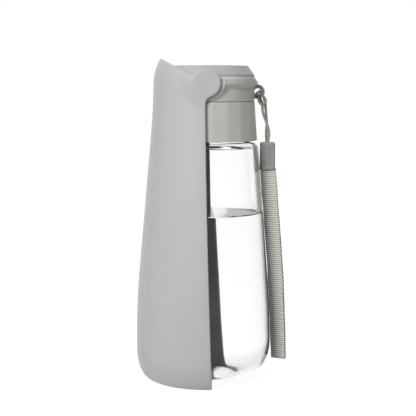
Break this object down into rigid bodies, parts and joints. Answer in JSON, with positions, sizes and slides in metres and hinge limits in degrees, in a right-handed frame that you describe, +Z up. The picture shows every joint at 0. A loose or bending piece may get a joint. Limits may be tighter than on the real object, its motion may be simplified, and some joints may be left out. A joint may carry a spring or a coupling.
{
  "type": "travel water bottle",
  "caption": "Clear screw-neck bottle with a valved head, a faceted grip collar, a half-shell drinking trough hinged over its front and a wrist lanyard.",
  "frame": {"origin": "on the bottle's axis, in the plane that the folded trough's floor stands on", "axes": "+Z up along the bottle, -X towards the trough, +X towards the lanyard, Y along the trough's hinge"},
  "size_m": [0.0981, 0.0914, 0.2062],
  "materials": {
    "clear_copolyester": "clear injection-moulded copolyester, polished",
    "drinking_water": "still drinking water inside the bottle",
    "grey_polypropylene": "satin moulded polypropylene",
    "head_polypropylene": "satin moulded polypropylene, a shade darker",
    "seal_silicone": "matt moulded silicone rubber",
    "clear_silicone": "translucent silicone rubber",
    "white_acetal": "moulded acetal",
    "button_plastic": "moulded dark grey plastic",
    "stainless_steel": "plain stainless steel",
    "braided_cord": "braided polyester cord",
    "woven_strap": "woven polyester webbing",
    "ferrule_plastic": "ribbed moulded plastic"
  },
  "bodies": {
    "head": {"grip_collar": "head_polypropylene", "head_shell": "head_polypropylene", "seal_band": "seal_silicone", "top_cap": "head_polypropylene", "cap_screws": "stainless_steel", "valve_seat": "clear_silicone", "bottle_gasket": "clear_silicone", "valve_spring": "stainless_steel", "rocker_pin": "stainless_steel", "pivot_pin_left": "stainless_steel", "pivot_pin_right": "stainless_steel", "pivot_washer_left": "white_acetal", "pivot_washer_right": "white_acetal", "lanyard_cord": "braided_cord", "lanyard_ferrule": "ferrule_plastic", "lanyard_strap": "woven_strap"},
    "bottle": {"bottle": "clear_copolyester", "water": "drinking_water"},
    "trough": {"trough": "grey_polypropylene"},
    "button": {"water_button": "button_plastic", "button_seal": "seal_silicone", "button_clip": "stainless_steel"},
    "rocker": {"rocker": "white_acetal"},
    "valve": {"valve_stem": "white_acetal", "valve_plug": "clear_silicone", "stem_clip": "stainless_steel"}
  },
  "joints": [
    {"name": "bottle_screw", "type": "hinge", "parent": "head", "child": "bottle", "pos_m": [0, 0, 0.165], "axis": [0, 0, -1], "range_deg": [0, 540]},
    {"name": "trough_swing", "type": "hinge", "parent": "head", "child": "trough", "pos_m": [0, 0, 0.1906], "axis": [0, 1, 0], "range_deg": [0, 144]},
    {"name": "button_press", "type": "slide", "parent": "head", "child": "button", "axis": [1, 0, 0], "range_m": [0, 0.003], "stiffness_N_per_m": 700, "springref_m": -0.001},
    {"name": "rocker_turn", "type": "hinge", "parent": "head", "child": "rocker", "pos_m": [-0.008, 0, 0.1892], "axis": [0, 1, 0], "range_deg": [0, 34.97]},
    {"name": "valve_open", "type": "slide", "parent": "head", "child": "valve", "axis": [0, 0, -1], "range_m": [0, 0.00301], "deforming": ["valve_spring"]}
  ],
  "couplings": [
    {"joint": "rocker_turn", "follows": "button_press", "rad_per_m": 203.13},
    {"joint": "valve_open", "follows": "button_press", "ratio": 1}
  ]
}
